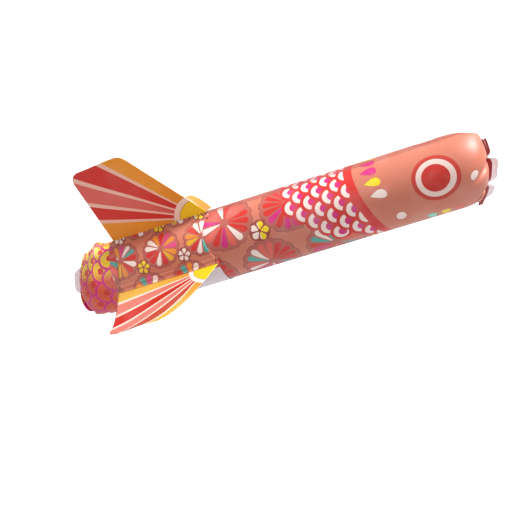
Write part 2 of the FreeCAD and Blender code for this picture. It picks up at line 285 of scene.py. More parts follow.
# the top fin's inks: lighter copies, painted light
RED_WITH_PAINTED_LIGHT = rgb(216, 40, 28)
CORAL_WITH_PAINTED_LIGHT = rgb(224, 98, 88)
ORANGE_WITH_PAINTED_LIGHT = rgb(242, 150, 30)
MAGENTA = rgb(206, 6, 118)
TEAL = rgb(74, 160, 148)
MINT = rgb(130, 214, 188)
YELLOW = rgb(244, 208, 4)
MUSTARD = rgb(226, 168, 6)
ORANGE = rgb(232, 136, 22)
CREAM = rgb(244, 220, 210)
ROSE = rgb(214, 60, 122)
# the brown of the painted shade beside the creases
PAINTED_SHADE_BROWN = rgb(140, 54, 42)
EYE_RIM = rgb(192, 44, 28)
EYE_WHITE = rgb(236, 206, 196)
EYE_DISC = rgb(196, 30, 14)
FAN_ORANGE = rgb(222, 84, 34)
CLEAR_TINT = rgb(250, 238, 244)
VALVE_WHITE = rgb(240, 240, 238)
VALVE_GREY = rgb(214, 216, 220)
PEARL_LIGHT = (1.0, 0.93, 0.90, 1.0)  # painted sheen, where the film's pearl catches the light,
PEARL_SHADE = (0.30, 0.08, 0.05, 1.0)  # and painted shade where it doesn't
WHITE = (1.0, 1.0, 1.0, 1.0)
SOFT = 0.25 * MM  # how soft the edges of the print are


def shader_group(name, inputs, outputs):
    """A new node group; its inputs are given as (name, socket type, default)."""
    tree = bpy.data.node_groups.new(name, "ShaderNodeTree")
    for label, kind, default in inputs:
        socket = tree.interface.new_socket(name=label, in_out="INPUT", socket_type=kind)
        if default is not None:
            socket.default_value = default
    for label, kind in outputs:
        tree.interface.new_socket(name=label, in_out="OUTPUT", socket_type=kind)
    nodes = Nodes(tree)
    entry = nodes.add("NodeGroupInput").outputs
    leave = nodes.add("NodeGroupOutput").inputs
    return tree, nodes, entry, leave


# A rosette: its rim's lobes, and its drop-shaped petals.
LOBE_SHARE = 0.12  # share of the rim's radius that the lobes take
LOBE_NOTCH = 3.4  # how deep the rim dips between two lobes
RIM_LINE = 0.8 * MM
PETAL_REACH = 0.86  # where a petal ends, as a share of the rim's radius
PETAL_START = 0.16  # and where it begins
PETAL_WIDTH = 0.86  # share of the room between two rays
PETAL_GAP = 0.25 * MM
PETAL_END = 0.58  # radius of a petal's end, as a share of its half width at the rim


def rosette_group():
    """Round flowers on a staggered lattice, with drop-shaped petals inside a scalloped rim."""
    tree, n, entry, leave = shader_group(
        "rosette lattice",
        [("Along", FLOAT, None), ("Round", FLOAT, None), ("Pitch", FLOAT, 48 * MM), ("Row", FLOAT, 42 * MM),
         ("Radius", FLOAT, 20 * MM), ("Petals", FLOAT, 12.0)],
        [("Petal", FLOAT), ("Inside", FLOAT), ("Line", FLOAT), ("Pick", FLOAT)])
    along, around, pitch, row_height, rim, petals = (entry[number] for number in range(6))
    row_at = n.over(around, row_height)
    row = n.floor(row_at)
    column_at = n.plus(n.over(along, pitch), n.stagger(row))
    column = n.floor(column_at)
    x = n.times(n.from_middle(column_at, column), pitch)
    y = n.times(n.from_middle(row_at, row), row_height)
    radius = n.length(x, y)
    turn = n.times(n.plus(n.over(n.math("ARCTAN2", y, x), 2 * math.pi), 0.5), petals)
    petal_number = n.floor(turn)
    off = n.absolute(n.from_middle(turn, petal_number))
    half_petal = n.over(math.pi, petals)
    lateral = n.times(radius, n.times(n.times(off, 2.0), half_petal))
    room = n.times(radius, half_petal)
    lobe = n.root(n.minus(1.0, n.times(n.times(off, off), LOBE_NOTCH)))
    edge = n.times(rim, n.plus(1 - LOBE_SHARE, n.times(lobe, LOBE_SHARE)))
    inside = n.under(radius, edge, SOFT)
    n.put(inside, leave[1])
    n.put(n.minus(inside, n.under(radius, n.minus(edge, RIM_LINE), SOFT)), leave[2])
    end_radius = n.times(n.times(rim, half_petal), PETAL_END)
    end_centre = n.minus(n.times(rim, PETAL_REACH), end_radius)
    beyond = n.larger(n.minus(radius, end_centre), 0.0)
    round_end = n.minus(n.length(beyond, lateral), end_radius)
    sides = n.minus(lateral, n.minus(n.times(room, PETAL_WIDTH), PETAL_GAP))
    petal = n.under(n.larger(round_end, sides), 0.0, SOFT)
    n.put(n.times(petal, n.math("GREATER_THAN", radius, n.times(rim, PETAL_START))), leave[0])
    chance = n.add("ShaderNodeTexWhiteNoise", noise_dimensions="3D")
    n.put(n.join(column, row, petal_number), chance.inputs[0])
    n.put(chance.outputs[0], leave[3])
    return tree


SCALE_REACH = 1.12  # how far a scale spreads from its centre, in half pitches
SPOT_AHEAD = 0.16  # how far its spot lies ahead of its centre
NO_SPOT = 9.0


def scale_group():
    """Overlapping round scales in staggered rows; each lies over those towards the tail."""
    tree, n, entry, leave = shader_group(
        "overlapping scales",
        [("Along", FLOAT, None), ("Round", FLOAT, None), ("Pitch", FLOAT, 21 * MM), ("Step", FLOAT, 0.5),
         ("Start", FLOAT, -1.0), ("Slant", FLOAT, 0.0)],
        [("Distance", FLOAT), ("Turn", FLOAT), ("Spot", FLOAT), ("Mask", FLOAT)])
    along, around, pitch, step, first, slant = (entry[number] for number in range(6))
    row_step = n.times(pitch, step)
    row_at = n.over(along, row_step)
    base = n.floor(row_at)
    found, turn, spot, mask = 0.0, 0.0, NO_SPOT, 0.0
    for ahead in (-1, 0, 1, 2):
        row = n.plus(base, float(ahead))
        shift = n.stagger(row)
        column_at = n.plus(n.over(around, pitch), shift)
        column = n.floor(column_at)
        x = n.times(n.times(n.minus(row_at, row), step), 2.0)
        y = n.times(n.from_middle(column_at, column), 2.0)
        distance = n.length(x, y)
        centre_along = n.times(row, row_step)
        centre_round = n.times(n.plus(n.minus(column, shift), 0.5), pitch)
        begins = n.plus(first, n.times(slant, n.times(centre_round, centre_round)))
        hit = n.times(n.math("LESS_THAN", distance, SCALE_REACH),
                      n.math("GREATER_THAN", centre_along, begins))
        found = n.choose(hit, found, distance)
        turn = n.choose(hit, turn, n.math("ARCTAN2", y, n.times(x, -1.0)))
        spot = n.choose(hit, spot, n.length(n.minus(x, SPOT_AHEAD), y))
        mask = n.larger(mask, hit)
    for number, value in enumerate((found, turn, spot, mask)):
        n.put(value, leave[number])
    return tree


def film_group():
    """Thin blown-up film: a fine crinkle, and cloudy patches of painted sheen and painted shade over the
    print.
    """
    tree, n, entry, leave = shader_group(
        "film finish and painted sheen",
        [("Colour", COLOUR, (0.8, 0.8, 0.8, 1.0)), ("Crinkle", FLOAT, 0.3)],
        [("Colour", COLOUR), ("Roughness", FLOAT), ("Normal", VECTOR)])
    colour, crinkle = entry[0], entry[1]
    place = n.add("ShaderNodeTexCoord").outputs["Object"]
    cloud = n.noise(place, scale=26.0, detail=3.0)
    # the pearl: cloudy patches of painted sheen and painted shade
    pearl = n.times(n.times(n.minus(cloud, 0.5), 0.4), n.times(crinkle, 4.0, clamp=True))
    light = n.mix(n.larger(pearl, 0.0), colour, PEARL_LIGHT)
    shade = n.times(n.larger(n.times(pearl, -1.0), 0.0), 0.7)
    n.put(n.mix(shade, light, PEARL_SHADE), leave[0])
    n.put(n.plus(0.38, n.times(cloud, 0.12)), leave[1])
    creases = n.noise(place, scale=140.0, detail=4.0, distortion=0.6)
    n.put(n.bump(creases, strength=crinkle, distance=0.6 * MM), leave[2])
    return tree


ROSETTES = rosette_group()
SCALES = scale_group()
FILM_FINISH_AND_PAINTED_SHEEN = film_group()


def new_material(name):
    material = bpy.data.materials.new(name)
    material.use_nodes = True
    nodes = Nodes(material.node_tree)
    return material, nodes, material.node_tree.nodes["Principled BSDF"].inputs


def use_group(nodes, tree, **values):
    node = nodes.add("ShaderNodeGroup", node_tree=tree)
    for key, value in values.items():
        nodes.put(value, node.inputs[key])
    return node.outputs


def finish_film_with_painted_sheen(nodes, surface, colour, crinkle, coat=0.4):
    """Gives a print the film's own finish, with cloudy patches of painted sheen and painted shade."""
    film = use_group(nodes, FILM_FINISH_AND_PAINTED_SHEEN, Colour=colour, Crinkle=crinkle)
    nodes.put(film["Colour"], surface["Base Color"])
    nodes.put(film["Roughness"], surface["Roughness"])
    nodes.put(film["Normal"], surface["Normal"])
    surface["Specular IOR Level"].default_value = 0.45
    surface["Coat Weight"].default_value = coat
    surface["Coat Roughness"].default_value = 0.55


def disc(nodes, along, around, at, radius):
    """1 inside a round spot on the flat film."""
    distance = nodes.length(nodes.minus(along, at[0]), nodes.minus(around, at[1]))
    return nodes.under(distance, radius, SOFT)


SMALL_FLOWER = 0.17  # radii of the flowers, as shares of their lattice's pitch
LARGE_FLOWER = 0.455
SMALL_INK_CHANGES = 13.0  # times a metre along the film


def rosettes_over(nodes, ground, along, around, row, petals, colours):
    """Lays coloured rosettes on a ground colour, with small flowers in the gaps between them."""
    pitch = row / math.cos(math.radians(30))
    small = use_group(nodes, ROSETTES, Along=nodes.minus(along, pitch / 2),
                      Round=nodes.minus(around, row / 3), Pitch=pitch, Row=row,
                      Radius=pitch * SMALL_FLOWER, Petals=5.0)
    small_ink = nodes.pick(nodes.math("FRACT", nodes.times(along, SMALL_INK_CHANGES)), [YELLOW, CREAM])
    colour = nodes.mix(small["Inside"], ground, OUTLINE)
    colour = nodes.mix(small["Petal"], colour, small_ink)
    large = use_group(nodes, ROSETTES, Along=along, Round=around, Pitch=pitch, Row=row,
                      Radius=pitch * LARGE_FLOWER, Petals=petals)
    colour = nodes.mix(large["Inside"], colour, PETAL_GROUND)
    colour = nodes.mix(large["Petal"], colour, nodes.pick(large["Pick"], colours))
    return nodes.mix(large["Line"], colour, OUTLINE)


# --- the print on the tube ---
# Places on the flat film: along the tube, and round it from the upper crease.
GILL_X = 101 * MM  # where the plain head starts at the upper crease
GILL_SLANT = 27 * MM  # and how much further forward it starts at the lower one
COLLAR = 9.5 * MM  # the red band behind the head
FLOWERS_FROM = (-9 * MM, -18 * MM)
SCALES_START = 22 * MM  # at the upper crease; further round they start further forward,
SCALES_SLANT = 12.0  # by this times the square of the distance round
SCALE_RIM = 0.79  # radii inside a scale, in half pitches
SCALE_SPOT = 0.46
RING_SOFT = 0.04
TAIL_PRINT_END = -183 * MM  # the tail's waves lie behind this
FAN_RIM = 0.90
FAN_HEART = 0.34
FAN_RAYS = 18
FAN_YELLOW = (38 * MM, 14 * MM)  # how far round the waves are yellow, and how slowly that fades
EYE_AT = (183.7 * MM, 35.9 * MM)
EYE_RINGS = [(24.6 * MM, EYE_RIM), (20.2 * MM, EYE_WHITE), (14.6 * MM, EYE_DISC)]
DOTS = [((220 * MM, 50 * MM), 5.0 * MM), ((138.5 * MM, 66 * MM), 5.4 * MM)]
DOT_LINE = 0.4 * MM
GILL_DROPS = 8 * MM  # how far ahead of the collar a row of drops starts
CHIN_ROW = 90.5 * MM  # how far round the drops below the head lie,
CHIN_ENDS = (158 * MM, 206 * MM)  # and between which places along it
UPPER_PAINTED_SHADE_STRIP = (-40 * MM, -6.5 * MM)  # painted shade: a darker strip on the far side of the upper crease
LOWER_PAINTED_SHADE_STRIP = (87 * MM, 108 * MM)  # and a strip of painted shade beside the lower crease, behind the head


def drop_row(n, colour, across, ahead, spacing, length, inks, within):
    """A row of drops side by side, each with its point back and its round end forward."""
    place = n.over(across, spacing)
    number = n.floor(place)
    off = n.times(n.absolute(n.from_middle(place, number)), spacing)
    share = n.over(ahead, length, clamp=True)
    width = n.times(share, n.root(n.minus(1.0, n.times(share, share))))
    width = n.times(n.times(width, spacing), 0.72)
    here = n.times(n.math("GREATER_THAN", width, 0.2 * MM), within)
    outlined = n.times(n.under(off, n.plus(width, 0.45 * MM), SOFT), here)
    colour = n.mix(outlined, colour, OUTLINE)
    chance = n.math("FRACT", n.times(n.plus(number, 41.0), 0.382))
    return n.mix(n.times(n.under(off, width, SOFT), here), colour, n.pick(chance, inks))


def head_over(n, colour, along, around):
    """The plain head with its red collar, two rows of drops, the eye and two dots, alike on both sides."""
    cosine = n.math("COSINE", n.times(around, math.pi / HALF_ROUND))
    gill = n.times(n.minus(1.0, cosine), GILL_SLANT / 2)
    ahead = n.minus(n.minus(along, GILL_X), gill)
    behind = n.times(ahead, -1.0)
    colour = n.mix(n.under(behind, COLLAR, SOFT), colour, RED)
    colour = n.mix(n.under(behind, 0.0, SOFT), colour, SALMON)
    colour = drop_row(n, colour, across=around, ahead=n.minus(ahead, GILL_DROPS), spacing=HALF_ROUND / 9,
                      length=18 * MM, inks=[YELLOW, MINT, CREAM, MAGENTA, CORAL, MINT],
                      within=n.under(around, HALF_ROUND / 3, SOFT))
    colour = drop_row(n, colour, across=n.plus(along, 4 * MM), ahead=n.minus(CHIN_ROW, around),
                      spacing=15 * MM, length=13 * MM, inks=[YELLOW, CORAL, MINT],
                      within=n.band(along, CHIN_ENDS[0], CHIN_ENDS[1], SOFT))
    for radius, ink in EYE_RINGS:
        colour = n.mix(disc(n, along, around, EYE_AT, radius), colour, ink)
    for at, radius in DOTS:
        colour = n.mix(disc(n, along, around, at, radius + DOT_LINE), colour, OUTLINE)
        colour = n.mix(disc(n, along, around, at, radius), colour, CREAM)
    return colour


def waves_over(n, colour, along, signed, around):
    """Rayed fans that overlap like waves on the tail, yellow above and orange below."""
    fan = use_group(n, SCALES, Along=along, Round=signed, Pitch=HALF_ROUND / 5, Step=0.52)
    ray = n.absolute(n.math("SINE", n.times(fan["Turn"], FAN_RAYS / 2)))
    rays = n.times(n.under(ray, 0.35, 0.1), n.band(fan["Distance"], 0.4, 0.8, 0.05))
    ink = n.mix(n.under(around, *FAN_YELLOW), FAN_ORANGE, YELLOW)
    wave = n.mix(n.under(fan["Distance"], FAN_RIM, RING_SOFT), MAGENTA, ink)
    wave = n.mix(n.under(fan["Distance"], FAN_HEART, RING_SOFT), wave, RED)
    wave = n.mix(rays, wave, DEEP_RED)
    return n.mix(n.under(along, TAIL_PRINT_END, SOFT), colour, wave)


def scales_over(n, colour, along, signed):
    """Red scales with a cream ring and a magenta spot."""
    scale = use_group(n, SCALES, Along=along, Round=signed, Pitch=HALF_ROUND / 6, Step=0.5,
                      Start=SCALES_START, Slant=SCALES_SLANT)
    inks = n.mix(n.under(scale["Distance"], SCALE_RIM, RING_SOFT), RED, CREAM)
    inks = n.mix(n.under(scale["Spot"], SCALE_SPOT, RING_SOFT), inks, MAGENTA)
    return n.mix(scale["Mask"], colour, inks)


def painted_shade_strips_over(n, colour, along, signed):
    """Painted shade: darker strips beside both creases, and a painted shadow line along the upper one's
    edge.
    """
    # painted shade on the far side of the upper crease
    upper = n.band(signed, UPPER_PAINTED_SHADE_STRIP[0], UPPER_PAINTED_SHADE_STRIP[1], SOFT)
    colour = n.mix(n.times(upper, 0.5), colour, PAINTED_SHADE_BROWN)
    # a thin painted shadow line along the upper crease
    line = n.under(n.absolute(n.minus(signed, UPPER_PAINTED_SHADE_STRIP[1])), 0.5 * MM, SOFT)
    colour = n.mix(n.times(line, 0.8), colour, PAINTED_SHADE_BROWN)
    # painted shade along the lower side, behind the head
    lower = n.times(n.band(signed, LOWER_PAINTED_SHADE_STRIP[0], LOWER_PAINTED_SHADE_STRIP[1], SOFT), n.under(along, GILL_X, SOFT))
    return n.mix(n.times(lower, 0.7), colour, PAINTED_SHADE_BROWN)


def tube_material():
    material, n, surface = new_material("printed pearl film")
    along, signed = n.film_place()
    around = n.absolute(signed)
    colour = rosettes_over(n, SALMON, n.minus(along, FLOWERS_FROM[0]), n.minus(signed, FLOWERS_FROM[1]),
                           row=HALF_ROUND / 2, petals=16.0, colours=[TEAL, MAGENTA, CORAL, RED, CREAM, RED])
    colour = waves_over(n, colour, along, signed, around)
    colour = scales_over(n, colour, along, signed)
    colour = head_over(n, colour, along, around)
    # painted shade beside the creases
    colour = painted_shade_strips_over(n, colour, along, signed)
    finish_film_with_painted_sheen(n, surface, colour, 0.25)
    return material


def sleeve_material():
    material, n, surface = new_material("printed sleeve film")
    along, around = n.film_place()
    colour = rosettes_over(n, SALMON, along, around, row=HALF_ROUND / 3, petals=13.0,
                           colours=[RED, TEAL, ORANGE, CREAM, ROSE, CREAM, RED, MUSTARD])
    finish_film_with_painted_sheen(n, surface, colour, 0.22)
    return material


# --- the print on the fins, with painted light and painted shade in its inks ---
# Where the rays meet and where the sun sits, from the fin's front tip: along the tube and outwards.
RAYS_FROM = {"top": (-7.9 * MM, -4.3 * MM), "side": (-16.3 * MM, 6.3 * MM)}
SUN_FROM = {"top": (-7.9 * MM, -4.3 * MM), "side": (-5 * MM, 0.0)}
# Each stripe's upper edge, in degrees round from the root, and its ink; the ground lies above the last.
# The side fins' inks are darker copies of the top fin's: painted light on the top fin, painted shade on the
# side fins.
STRIPES_WITH_PAINTED_LIGHT_AND_SHADE = {"top": [(17.2, ORANGE_WITH_PAINTED_LIGHT), (27.4, RED_WITH_PAINTED_LIGHT), (38.6, CORAL_WITH_PAINTED_LIGHT), (51.2, RED_WITH_PAINTED_LIGHT)],
           "side": [(8.0, HONEY_WITH_PAINTED_SHADE), (21.0, PALE_CORAL_WITH_PAINTED_SHADE), (34.0, VERMILION_WITH_PAINTED_SHADE), (46.5, PALE_CORAL_WITH_PAINTED_SHADE), (60.0, BRICK_WITH_PAINTED_SHADE)]}
FIN_GROUND_WITH_PAINTED_LIGHT_AND_SHADE = {"top": ORANGE_WITH_PAINTED_LIGHT, "side": HONEY_WITH_PAINTED_SHADE}
PALE_LINE = {"top": rgb(246, 190, 170), "side": rgb(218, 196, 180)}
# the side fin's sun is a darker copy of the top fin's, painted shade
SUN_INK_WITH_PAINTED_LIGHT_AND_SHADE = {"top": rgb(250, 200, 8), "side": rgb(210, 182, 12)}
RING_INK = {"top": rgb(246, 210, 190), "side": rgb(222, 210, 206)}
FIN_SUN = 25.7 * MM
FIN_RING = {"top": 32 * MM, "side": 30.6 * MM}
SUN_LINE = 0.5 * MM
LINE_START = 0.5 * MM  # half width of a pale line where the rays meet,
LINE_SPREAD = 0.017  # and how fast it widens outwards
SHADE_REACH = 62 * MM  # the rays are darker within this,
SHADE_FADE = 40 * MM
SHADE_DEPTH = 0.28


def polar(n, along, outward, centre):
    """Distance from a centre, and the angle there in degrees from the direction to the tail."""
    dx = n.minus(centre[0], along)
    dy = n.minus(outward, centre[1])
    return n.length(dx, dy), n.times(n.math("ARCTAN2", dy, dx), 180 / math.pi)


def fin_material(kind):
    """Rays in bands of ink with pale lines between them, and a ringed sun at the fin's tip; the top fin's
    inks carry painted light and the side fins' darker copies carry painted shade.
    """
    material, n, surface = new_material("printed fin film, " + kind)
    along, outward = n.film_place()
    reach, turn = polar(n, along, outward, RAYS_FROM[kind])
    colour = FIN_GROUND_WITH_PAINTED_LIGHT_AND_SHADE[kind]
    for edge, ink in reversed(STRIPES_WITH_PAINTED_LIGHT_AND_SHADE[kind]):
        colour = n.mix(n.math("LESS_THAN", turn, edge), colour, ink)
    colour = n.mix(n.times(n.under(reach, SHADE_REACH, SHADE_FADE), SHADE_DEPTH), colour, DEEP_RED)
    for edge, _ in STRIPES_WITH_PAINTED_LIGHT_AND_SHADE[kind]:
        off = n.times(n.absolute(n.minus(turn, edge)), math.pi / 180)
        width = n.plus(LINE_START, n.times(reach, LINE_SPREAD))
        colour = n.mix(n.under(n.times(off, reach), width, SOFT), colour, PALE_LINE[kind])
    sun_reach, _ = polar(n, along, outward, SUN_FROM[kind])
    colour = n.mix(n.under(sun_reach, FIN_RING[kind], SOFT), colour, RING_INK[kind])
    colour = n.mix(n.under(sun_reach, FIN_SUN, SOFT), colour, OUTLINE)
    colour = n.mix(n.under(sun_reach, FIN_SUN - SUN_LINE, SOFT), colour, SUN_INK_WITH_PAINTED_LIGHT_AND_SHADE[kind])
    finish_film_with_painted_sheen(n, surface, colour, 0.12, coat=0.0)
    return material


# --- the plain materials ---

def plain_film(name, colour, crinkle, alpha=1.0):
    material, n, surface = new_material(name)
    finish_film_with_painted_sheen(n, surface, colour, crinkle)
    surface["Alpha"].default_value = alpha
    return material


def plastic_material():
    """Soft moulded plastic, very slightly mottled."""
    material, n, surface = new_material("soft valve plastic")
    grain = n.noise(n.add("ShaderNodeTexCoord").outputs["Object"], scale=900.0)
    n.put(n.mix(n.times(grain, 0.25), VALVE_WHITE, VALVE_GREY), surface["Base Color"])
    n.put(n.bump(grain, strength=0.15, distance=0.1 * MM), surface["Normal"])
    surface["Roughness"].default_value = 0.42
    surface["Subsurface Weight"].default_value = 0.1
    return material


TUBE_FILM = tube_material()
SLEEVE_FILM = sleeve_material()
# the top fin's inks carry painted light and the side fins' painted shade
TOP_FIN_FILM = fin_material("top")
SIDE_FIN_FILM = fin_material("side")
WELD_FILM = plain_film("red weld film", DEEP_RED, 0.3)
CLEAR_FILM = plain_film("clear film", CLEAR_TINT, 0.5, alpha=0.7)
VALVE_PLASTIC = plastic_material()


# --- the air tube ---
FULLNESS = 3.2  # how square-shouldered the blown-up ends are; 2 is a plain oval
SWELL_AT, SWELL_WIDTH = 0.38, 0.25  # where along an end its upper panel swells, and over how much of it
PUFF_PEAK = 0.24  # the highest that flat ** 6 * cos(turn) gets, which is just before the weld
END_FILM = 1.35  # how much longer the film of a puckered end is than the end itself
CREASE_HEIGHT = 0.6 * MM
WELD_LAP = 0.6 * MM  # how far a weld reaches back over the film
DIP_WIDTH = 1.8 * MM  # half width of the notch that a fold leaves in a weld


@dataclass
class Fold:
    """A fold in a puckered end."""
    at: float  # height along the weld
    half_width: float
    share: float  # how much of the panel's bulge it takes away
    draw: float  # how far it draws the weld in
    lean: float = 0.0  # how far it slants up or down from the weld to the barrel


@dataclass
class GatheredEnd:
    """One puckered end of the tube, from the round barrel to the flat weld."""
    weld_x: float
    length: float
    twist: float  # of the weld away from the creases, in degrees
    upper: float  # heights of the weld's two ends, above and below the axis
    lower: float
    crown: float  # height at which the weld stands furthest out
    sweep: float  # how far it falls back from there to its lower end
    folds: list
    wave: float  # how far the flattened film sways sideways
    fold_reach: float  # how soon the folds fade towards the barrel
    puff: float  # how far the film bulges towards the end, just before the weld
    swell: float  # how far the upper part swells beyond the barrel

    @property
    def way(self):
        """1 where this end points to the nose, -1 where it points to the tail."""
        return 1.0 if self.weld_x > 0 else -1.0

    @property
    def start(self):
        """Where this end leaves the round barrel."""
        return self.weld_x - self.way * self.length

    def folded(self, height, flat=1.0):
        """Depth of the folds and how far they draw the edge in; a leaning fold slants across the panel."""
        depth = 0.0
        pull = 0.0
        for fold in self.folds:
            near = math.exp(-((height - fold.at - fold.lean * (1 - flat)) / fold.half_width) ** 2)
            depth += fold.share * near
            pull += fold.draw * near
        return min(depth, 0.9), pull

    def edge_x(self, height):
        back = self.sweep * ((height - self.crown) / (self.lower + self.crown)) ** 2
        return self.weld_x - self.way * (back + self.folded(height)[1])

    def swelling(self, flat, height):
        near = math.exp(-((flat - SWELL_AT) / SWELL_WIDTH) ** 2) * min(1, 6 * flat)
        return self.swell * near * max(0, height) / TUBE_RADIUS

    def point(self, turn, share, hand):
        """The film at a turn from the barrel, 0 degrees, to the weld, 90.

        share runs from 0 at the upper crease to 1 at the lower one; hand 1 is the right panel."""
        flat = math.sin(math.radians(turn))
        near = max(0.0, 1 - flat ** FULLNESS) ** (1 / FULLNESS)
        upper = TUBE_RADIUS + (self.upper - TUBE_RADIUS) * (1 - near)
        lower = TUBE_RADIUS + (self.lower - TUBE_RADIUS) * (1 - near)
        half_chord = (upper + lower) / 2
        bulge = TUBE_RADIUS * near + FILM * flat
        half_angle = 2 * math.atan2(bulge, half_chord)
        arc_radius = half_chord / math.sin(half_angle)
        angle = half_angle * (1 - 2 * share)
        height = (upper - lower) / 2 + arc_radius * math.sin(angle)
        side = arc_radius * (math.cos(angle) - math.cos(half_angle))
        swell = self.swelling(flat, height)
        height += swell
        side *= 1 + swell / TUBE_RADIUS
        fold = self.folded(height, flat)[0] * flat ** self.fold_reach
        side *= 1 - fold * near ** 0.3
        sway = self.wave * flat ** 4 * math.sin(math.pi * (height - self.crown) / self.upper)
        puff = self.puff * flat ** 6 * math.cos(math.radians(turn)) / PUFF_PEAK * (1 - fold)
        x = self.start + (self.edge_x(height) - self.start) * flat + self.way * puff
        return about_axis(x, CREASE_AZIMUTH + self.twist * flat ** 3, height, hand * side + sway)


NOSE = GatheredEnd(
    weld_x=NOSE_WELD_X + 5.5 * MM, length=48 * MM, twist=24.0, upper=25 * MM, lower=44 * MM,
    crown=14 * MM, sweep=24 * MM, wave=1.5 * MM, fold_reach=5.0, puff=1 * MM, swell=0.0,
    folds=[Fold(at=4 * MM, half_width=4 * MM, share=0.4, draw=2 * MM),
           Fold(at=-23 * MM, half_width=3.5 * MM, share=0.55, draw=1.5 * MM)])
TAIL = GatheredEnd(
    weld_x=TAIL_WELD_X - 5.5 * MM, length=44 * MM, twist=14.0, upper=41 * MM, lower=38 * MM,
    crown=-18 * MM, sweep=2.9 * MM, wave=-3 * MM, fold_reach=2.0, puff=1 * MM, swell=4.5 * MM,
    folds=[Fold(at=15 * MM, half_width=7 * MM, share=0.65, draw=1 * MM, lean=-120 * MM),
           Fold(at=-27 * MM, half_width=5 * MM, share=0.6, draw=7 * MM)])


def margin_piece(name, end, inner, width, crumple, thickness, material):
    """Flat strip outside a gathered end; width gives its breadth at each height along the weld."""
    along, across = 120, 10
    noise_place = end.weld_x * 9
    rows = []
    for step in range(along + 1):
        share = step / along
        base = (end.point(90, share, 1) + end.point(90, share, -1)) / 2
        height = end.upper - (end.upper + end.lower) * share
        row = []
        for column in range(across + 1):
            out = column / across
            wave = noise.noise(Vector((height * 90, out * 1.5, noise_place))) * crumple * out
            drop = noise.noise(Vector((height * 120, 4.0, noise_place))) * crumple * 0.4 * out
            along_x = end.way * (inner + width(height) * out + drop)
            row.append(base + Vector((along_x, 0, 0)) + about_axis(0, end.twist + CREASE_AZIMUTH - 90, wave))
        rows.append(row)
    piece = grid_piece(name, rows, material)
    apply_modifier(piece, "SOLIDIFY", thickness=thickness, offset=0.0)
    return piece


def between(height, low, high, soft):
    """1 between two heights along a weld, easing to 0 outside them."""
    return ease((height - low) / soft + 0.5) * ease((high - height) / soft + 0.5)


def lobes(height, end):
    """1 along a weld, and narrow at each of its folds."""
    dip = sum(math.exp(-((height - fold.at) / DIP_WIDTH) ** 2) for fold in end.folds)
    return 1 - 0.8 * min(1.0, dip)


def nose_weld_width(height):
    return 4.8 * MM * lobes(height, NOSE) + WELD_LAP


def nose_flange_width(height):
    return 1 * MM + 9 * MM * between(height, -38 * MM, 3 * MM, 7 * MM) * lobes(height, NOSE)


def tail_weld_width(height):
    return 3 * MM * lobes(height, TAIL) * between(height, -28 * MM, 28 * MM, 14 * MM) + WELD_LAP


def tail_flange_width(height):
    return 9.5 * MM * between(height, -9 * MM, 22 * MM, 9 * MM)


def crease_height(round_place):
    """How proud the lay-flat creases stand; round_place goes from -1 to 1 round the tube."""
    off = round_place * HALF_ROUND - UPPER_PAINTED_SHADE_STRIP[1]
    far = HALF_ROUND - abs(round_place) * HALF_ROUND
    return CREASE_HEIGHT * (math.exp(-(off / (2 * MM)) ** 2) + math.exp(-(far / (2.5 * MM)) ** 2))


def air_tube():
    """Both film panels as one closed skin, with the lay-flat creases standing a little proud."""
    across = 96
    end_rows = 44
    barrel_rows = 90
    places = [(NOSE, 90.0 * (end_rows - k) / end_rows) for k in range(end_rows)]
    barrel = TAIL.start - NOSE.start
    places += [(None, NOSE.start + barrel * k / barrel_rows) for k in range(barrel_rows + 1)]
    places += [(TAIL, 90.0 * (k + 1) / end_rows) for k in range(end_rows)]
    rows, uvs = [], []
    for end, value in places:
        row, uv = [], []
        for step in range(2 * across + 1):
            hand = 1 if step <= across else -1
            share = step / across if hand == 1 else 2 - step / across
            crease = crease_height(hand * share)
            if end is None:
                point = about_axis(value, CREASE_AZIMUTH - hand * 180 * share, TUBE_RADIUS + crease)
                film_x = value
            else:
                turn = math.radians(value)
                point = end.point(value, share, hand)
                point += Vector((0, point.y, point.z)).normalized() * math.cos(turn) * crease
                film_x = end.start + end.way * end.length * END_FILM * turn / (math.pi / 2)
            row.append(point)
            uv.append((film_x, hand * share * HALF_ROUND))
        rows.append(row)
        uvs.append(uv)
    tube = grid_piece("air_tube", rows, TUBE_FILM, uvs)
    apply_modifier(tube, "WELD", merge_threshold=0.02 * MM)
    return tube


# --- the tail sleeve ---
SLEEVE_LIFT = 0.25 * MM  # how far the air pushes the sleeve's film out,
SLEEVE_SLACK = 0.25 * MM  # and how uneven it is
SLEEVE_FILM_THICKNESS = 0.3 * MM
REAR_DRAW = 8 * MM  # how far the rear edge is drawn in between two fins
WINDOW_SETBACK = 3 * MM  # of the clear half's front edge


def ridge_radius(azimuth, radius):
    """Distance from the axis of the sleeve's profile: round, with a straight slope to each ridge."""
    off = min(abs(azimuth - ridge) for ridge in list(FIN_AZIMUTH.values()) + [FIN_AZIMUTH["right"] + 360])
    if off >= RIDGE_ANGLE:
        return radius
    return radius / math.cos(math.radians(RIDGE_ANGLE - off))


def front_edge(azimuth):
    """Where the sleeve's front edge lies: bitten back between the ridges, straight on the clear half."""
    if not FIN_AZIMUTH["right"] < azimuth < FIN_AZIMUTH["left"]:
        return sleeve_high.x
    middle = (FIN_AZIMUTH["right" if azimuth < 90 else "left"] + FIN_AZIMUTH["top"]) / 2
    off = math.radians(azimuth - middle) * TUBE_RADIUS
    centre = sleeve_high.x - SCALLOP_DEPTH + SCALLOP_RADIUS
    if abs(off) >= SCALLOP_RADIUS:
        return sleeve_high.x
    return min(sleeve_high.x, centre - math.sqrt(SCALLOP_RADIUS ** 2 - off ** 2))


